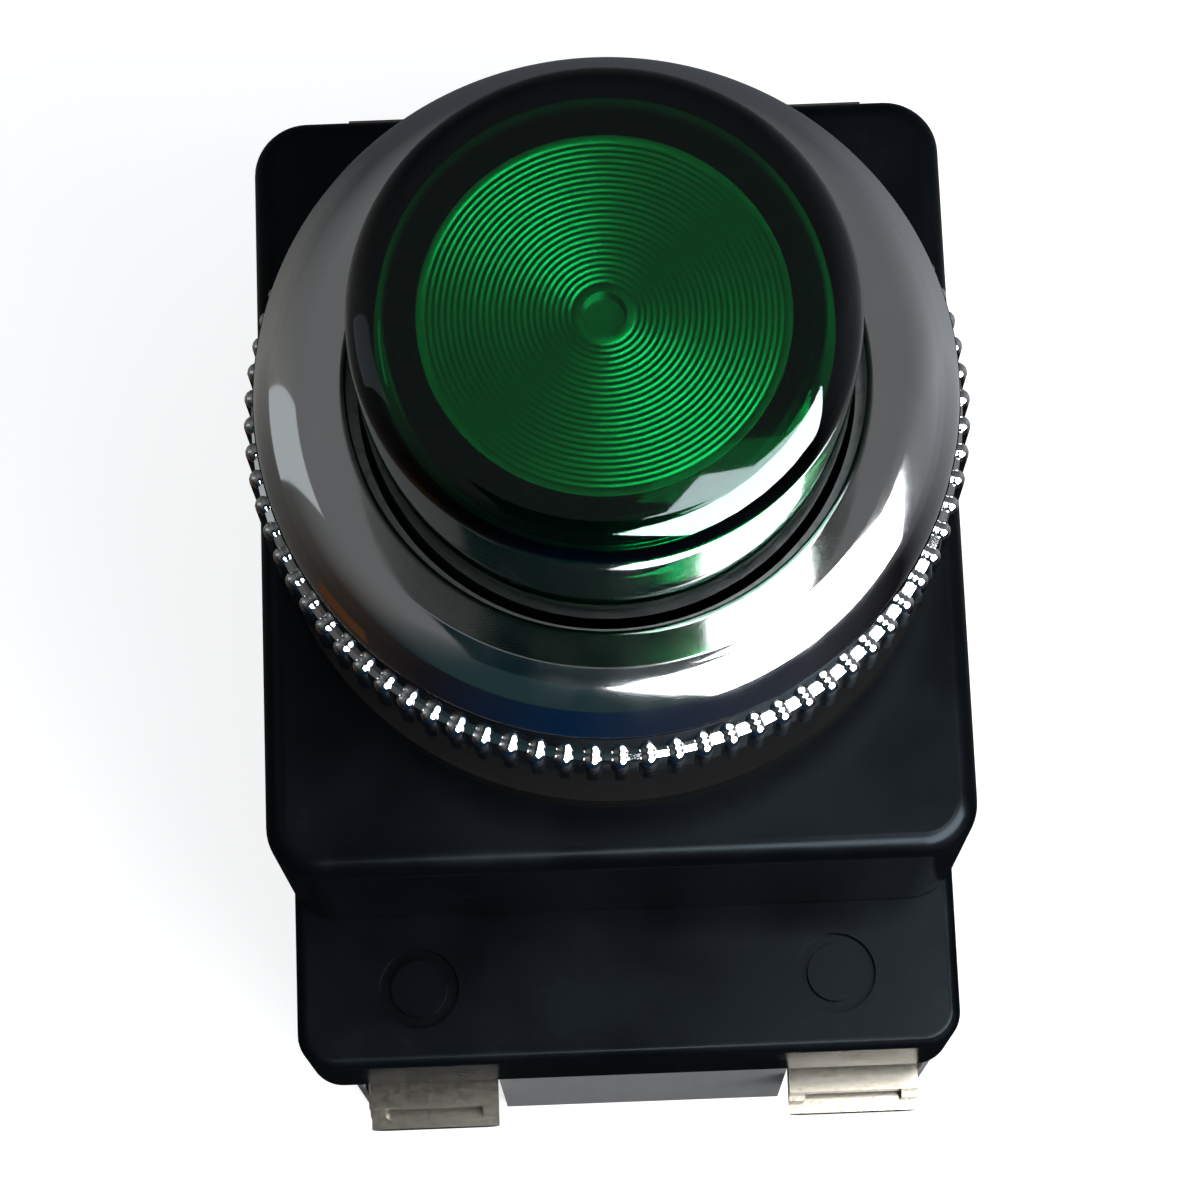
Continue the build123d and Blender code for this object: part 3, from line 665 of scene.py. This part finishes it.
class SWITCH_OT_neck(bpy.types.Operator):
    """Makes the cast sleeve with its screw thread"""

    bl_idname = "switch.neck"
    bl_label = "Threaded neck"

    def execute(self, context):
        s = sizes()
        bottom, top = low("operator_sleeve").z, high("operator_sleeve").z
        bore = s.lens_radius + 0.3 * MM
        neck = bore + 1.6 * MM
        skirt = bore + 1.2 * MM
        flange = high("operator_sleeve").x
        flange_top = low("anti_rotation_washer").z - 2.0 * MM
        flange_bottom = flange_top - 2.5 * MM
        root = neck - s.thread_depth
        outline = [
            (bore, bottom), (skirt, bottom), (skirt, flange_bottom), (flange, flange_bottom),
            (flange, flange_top), (root, flange_top), (root, top), (bore, top),
        ]
        bm = bmesh.new()
        turned_mesh(bm, outline, steps=128)

        # The thread is one ridge, sunk a little into the neck and wound round it
        foot = root - 0.05 * MM
        half_foot = 0.45 * s.thread_pitch
        half_crest = 0.08 * s.thread_pitch
        start_z = flange_top + 0.5 * s.thread_pitch
        turns = int((top - flange_top) / s.thread_pitch) - 1
        steps_per_turn = 64
        profile = ((foot, -half_foot), (neck, -half_crest), (neck, half_crest), (foot, half_foot))
        thread = bmesh.new()
        ridge = [thread.verts.new((r, 0.0, start_z + z)) for r, z in profile]
        thread.faces.new(ridge)
        bmesh.ops.spin(
            thread, geom=list(thread.faces) + list(thread.edges) + ridge, cent=(0, 0, 0), axis=(0, 0, 1),
            dvec=(0, 0, s.thread_pitch / steps_per_turn), angle=2 * pi * turns,
            steps=steps_per_turn * turns, use_merge=False, use_duplicate=False,
        )
        bmesh.ops.remove_doubles(thread, verts=list(thread.verts), dist=1e-7)
        bmesh.ops.recalc_face_normals(thread, faces=list(thread.faces))
        join_mesh(bm, thread)
        make_piece("threaded_neck", bm, "base", "operator_sleeve", angle=28.0)
        # The zinc is a darker grey than bare zinc as painted shade: it stands for the shaded gap inside the
        # locking ring, around the lens
        cast = plated_metal("zinc_darkened_as_shade", "#4E5052", "#36383A", 0.34, 0.7 * MM)
        dress(cast, "threaded_neck")
        return {"FINISHED"}


class SWITCH_OT_bezel_ring(bpy.types.Operator):
    """Makes the chromed locking ring"""

    bl_idname = "switch.bezel_ring"
    bl_label = "Locking ring"

    def execute(self, context):
        s = sizes()
        bottom, top, edge = low("bezel_ring").z, high("bezel_ring").z, high("bezel_ring").x
        bore = 15.1 * MM
        lip = s.lens_radius + 0.8 * MM
        lip_back = top - 1.9 * MM
        lip_round = 0.3 * MM
        dish = 0.13 * MM
        knurl_top = bottom + 4.0 * MM
        root = edge - 0.8 * s.knurl_radius
        outline = [
            (lip, lip_back), (bore, lip_back), (bore, bottom), (root, bottom),
            (root, knurl_top - 0.3 * MM), (s.ring_foot + 0.1 * MM, knurl_top - 0.15 * MM),
        ]

        # The round shoulder ends just short of level, so that a faint crease parts it from the dished front
        shoulder = s.ring_foot - s.ring_round
        for degrees in (*range(90, 5, -5), 6, 5):
            turn = radians(degrees)
            outline.append((shoulder + s.ring_round * sin(turn), top - s.ring_round * (1 - cos(turn))))
        crease_x, crease_z = outline[-1]
        outline.append((crease_x - 0.03 * MM, crease_z - 0.002 * MM))
        outline += [(lip + 0.45 * MM, top - 0.85 * dish), (lip, top - dish)]
        bm = bmesh.new()
        turned_mesh(bm, outline, [(len(outline) - 1, lip_round, 5)], steps=240)

        tooth = bmesh.new()
        bmesh.ops.create_cone(
            tooth, cap_ends=True, cap_tris=False, segments=14, radius1=s.knurl_radius,
            radius2=s.knurl_radius, depth=knurl_top - bottom,
        )
        middle = Vector((edge - s.knurl_radius, 0.0, 0.5 * (bottom + knurl_top)))
        bmesh.ops.translate(tooth, vec=middle, verts=list(tooth.verts))
        front = [e for e in tooth.edges if min(v.co.z for v in e.verts) > middle.z]
        bmesh.ops.bevel(
            tooth, geom=front, offset=0.85 * s.knurl_radius, offset_type="OFFSET", segments=5,
            profile=0.5, affect="EDGES", material=-1,
        )
        back = [e for e in tooth.edges if max(v.co.z for v in e.verts) < bottom + 0.1 * MM]
        bmesh.ops.bevel(
            tooth, geom=back, offset=0.25 * s.knurl_radius, offset_type="OFFSET", segments=2,
            profile=0.5, affect="EDGES", material=-1,
        )
        bmesh.ops.spin(
            tooth, geom=list(tooth.faces) + list(tooth.edges) + list(tooth.verts), cent=(0, 0, 0),
            axis=(0, 0, 1), dvec=(0, 0, 0), angle=2 * pi * (s.knurl_teeth - 1) / s.knurl_teeth,
            steps=s.knurl_teeth - 1, use_merge=False, use_duplicate=True,
        )
        join_mesh(bm, tooth)
        make_piece("locking_ring", bm, "base", "bezel_ring", angle=40.0)
        dress(chrome_plate(), "locking_ring")
        return {"FINISHED"}


# Studio

def stage_card(name, bm, material, reflected_only=True):
    """Adds a card of the studio. Where it is reflected only, the camera and the switch's shadow miss it."""
    card = add_object(name, bm)
    card.data.materials.append(material)
    if reflected_only:
        card.visible_camera = False
        card.visible_diffuse = False
        card.visible_shadow = False


def light_card(name, centre, size, code, strength):
    """A flat glowing card that faces the switch."""
    bm = bmesh.new()
    bmesh.ops.create_grid(bm, x_segments=1, y_segments=1, size=0.5)
    bmesh.ops.scale(bm, vec=(*size, 1.0), verts=list(bm.verts))
    target = Vector((0.0, 0.0, 60 * MM))
    turn = (target - Vector(centre)).to_track_quat("Z", "Y").to_matrix().to_4x4()
    bmesh.ops.transform(bm, matrix=Matrix.Translation(centre) @ turn, verts=list(bm.verts))
    stage_card(name, bm, glowing_card(name, strength, code))


def table_ring(name, rows, material):
    """Cards that run all round the switch."""
    bm = bmesh.new()
    for row in rows:
        corners = [bm.verts.new((radius, 0.0, height)) for radius, height in row]
        edges = [bm.edges.new(pair) for pair in zip(corners, corners[1:])]
        bmesh.ops.spin(
            bm, geom=edges + corners, cent=(0, 0, 0), axis=(0, 0, 1), dvec=(0, 0, 0), angle=2 * pi,
            steps=96, use_merge=True, use_duplicate=False,
        )
    stage_card(name, bm, material)


def add_floor():
    bm = bmesh.new()
    bmesh.ops.create_grid(bm, x_segments=1, y_segments=1, size=3.0)
    bmesh.ops.translate(bm, vec=(0.0, 0.0, -0.05 * MM), verts=list(bm.verts))
    stage_card("floor", bm, white_card(), reflected_only=False)


def add_window_light():
    """The soft lamp that lights the switch and casts its shadow. Reflections see the window card instead."""
    place = Vector((0.36, -0.3, 0.42))
    target = Vector((0.0, 0.0, 40 * MM))
    data = bpy.data.lights.new("window_light", "AREA")
    data.shape = "RECTANGLE"
    data.size = 0.45
    data.size_y = 0.4
    data.energy = 2.8
    lamp = bpy.data.objects.new("window_light", data)
    lamp.location = place
    lamp.rotation_euler = (target - place).to_track_quat("-Z", "Y").to_euler()
    lamp.visible_glossy = False
    bpy.context.scene.collection.objects.link(lamp)


def add_world():
    """White to the camera, a plain fill to matt surfaces and the studio's tones to reflections."""
    world = bpy.data.worlds.new("studio")
    bpy.context.scene.world = world
    world.use_nodes = True
    tree = world.node_tree
    tree.nodes.clear()
    direction = add_node(tree, "ShaderNodeTexCoord").outputs["Generated"]
    height = add_node(tree, "ShaderNodeSeparateXYZ", inputs={"Vector": direction}).outputs["Z"]

    # Walls by direction, which blend into one tone overhead
    walls, turn = surroundings(tree, direction)
    overhead = add_node(tree, "ShaderNodeMapRange", inputs={
        "Value": height, "From Min": 0.25, "From Max": 0.9,
    })
    room = add_node(tree, "ShaderNodeMix", {"data_type": "RGBA"}, {
        "Factor": overhead.outputs["Result"], MIX_A: walls, MIX_B: hex_linear(OVERHEAD, 1.0),
    })

    # A dark stretch in front of the switch, up to nearly overhead
    off, on = hex_linear("#000000"), hex_linear("#FFFFFF")
    in_front = add_node(tree, "ShaderNodeValToRGB", inputs={"Fac": turn}, stops=[
        (0.08, off), (0.15, on), (0.33, on), (0.4, off),
    ])
    below = add_node(tree, "ShaderNodeMapRange", inputs={
        "Value": height, "From Min": 0.98, "From Max": 0.9,
    })
    dark_share = add_node(tree, "ShaderNodeMath", {"operation": "MULTIPLY"}, {
        0: in_front.outputs["Color"], 1: below.outputs["Result"],
    })
    room = add_node(tree, "ShaderNodeMix", {"data_type": "RGBA"}, {
        "Factor": dark_share.outputs["Value"], MIX_A: room.outputs[MIX_RESULT],
        MIX_B: hex_linear(LOW_IN_FRONT, 1.0),
    })

    # White at the horizon, where the floor ends
    haze = add_node(tree, "ShaderNodeMapRange", inputs={
        "Value": height, "From Min": 0.0, "From Max": 0.035,
    })
    room = add_node(tree, "ShaderNodeMix", {"data_type": "RGBA"}, {
        "Factor": haze.outputs["Result"], MIX_A: hex_linear("#FFFFFF", 1.0), MIX_B: room.outputs[MIX_RESULT],
    })

    reflected = add_node(tree, "ShaderNodeBackground", inputs={"Color": room.outputs[MIX_RESULT]})
    fill = add_node(tree, "ShaderNodeBackground", inputs={
        "Color": hex_linear("#F6FAFF", 1.0), "Strength": 0.45,
    })
    white = add_node(tree, "ShaderNodeBackground", inputs={"Color": hex_linear("#FFFFFF", 1.0)})
    path = add_node(tree, "ShaderNodeLightPath").outputs
    glossy = add_node(tree, "ShaderNodeMath", {"operation": "MAXIMUM"}, {
        0: path["Is Glossy Ray"], 1: path["Is Transmission Ray"],
    })
    lit = add_node(tree, "ShaderNodeMixShader", inputs={
        "Fac": glossy.outputs["Value"], 1: fill.outputs["Background"], 2: reflected.outputs["Background"],
    })
    shown = add_node(tree, "ShaderNodeMixShader", inputs={
        "Fac": path["Is Camera Ray"], 1: lit.outputs["Shader"], 2: white.outputs["Background"],
    })
    out = add_node(tree, "ShaderNodeOutputWorld")
    tree.links.new(shown.outputs["Shader"], out.inputs["Surface"])


def add_camera():
    up = Vector((0.0, cos(CAMERA_TILT), sin(CAMERA_TILT)))
    right = Vector((1.0, 0.0, 0.0))
    back = Vector((0.0, -sin(CAMERA_TILT), cos(CAMERA_TILT)))
    rolled_right = cos(CAMERA_ROLL) * right - sin(CAMERA_ROLL) * up
    rolled_up = sin(CAMERA_ROLL) * right + cos(CAMERA_ROLL) * up
    data = bpy.data.cameras.new("camera")
    data.lens = CAMERA_LENS_MM
    data.sensor_width = CAMERA_SENSOR_MM
    data.clip_start = 0.01
    camera = bpy.data.objects.new("camera", data)
    matrix = Matrix((rolled_right, rolled_up, back)).transposed().to_4x4()
    matrix.translation = Vector(CAMERA_PLACE)
    camera.matrix_world = matrix
    bpy.context.scene.collection.objects.link(camera)
    bpy.context.scene.camera = camera


class SWITCH_OT_stage(bpy.types.Operator):
    """Makes the floor, the studio light and the camera"""

    bl_idname = "switch.stage"
    bl_label = "Stage"

    def execute(self, context):
        add_floor()
        add_world()
        add_window_light()
        for card in LIGHT_CARDS:
            light_card(*card)
        table_ring("table_mat", MAT_ROWS, glowing_card("table_mat", code=MAT_COLOUR))
        table_ring("table_ring", RING_ROWS, glowing_card("table_ring"))
        add_camera()
        context.scene.view_settings.view_transform = "Standard"
        return {"FINISHED"}


class SWITCH_PT_panel(bpy.types.Panel):
    """Lists the switch's sizes, colours and steps"""

    bl_idname = "SWITCH_PT_panel"
    bl_label = "Pushbutton switch"
    bl_space_type = "VIEW_3D"
    bl_region_type = "UI"
    bl_category = "Switch"

    def draw(self, context):
        for group in (sizes(), colours()):
            for key in group.__annotations__:
                self.layout.prop(group, key)
        for operator in OPERATORS:
            self.layout.operator(operator.bl_idname)


OPERATORS = (
    SWITCH_OT_housings,
    SWITCH_OT_metalwork,
    SWITCH_OT_lens,
    SWITCH_OT_marking_plate,
    SWITCH_OT_neck,
    SWITCH_OT_bezel_ring,
    SWITCH_OT_stage,
)
CLASSES = (SwitchSizes, SwitchColours, *OPERATORS, SWITCH_PT_panel)


def register():
    for each in CLASSES:
        bpy.utils.register_class(each)
    bpy.types.Scene.switch_sizes = PointerProperty(type=SwitchSizes)
    bpy.types.Scene.switch_colours = PointerProperty(type=SwitchColours)


def unregister():
    del bpy.types.Scene.switch_colours
    del bpy.types.Scene.switch_sizes
    for each in reversed(CLASSES):
        bpy.utils.unregister_class(each)


def main():
    register()
    bpy.ops.switch.housings()
    bpy.ops.switch.metalwork()
    bpy.ops.switch.lens()
    bpy.ops.switch.marking_plate()
    bpy.ops.switch.neck()
    bpy.ops.switch.bezel_ring()
    bpy.ops.switch.stage()


if __name__ == "__main__":
    main()
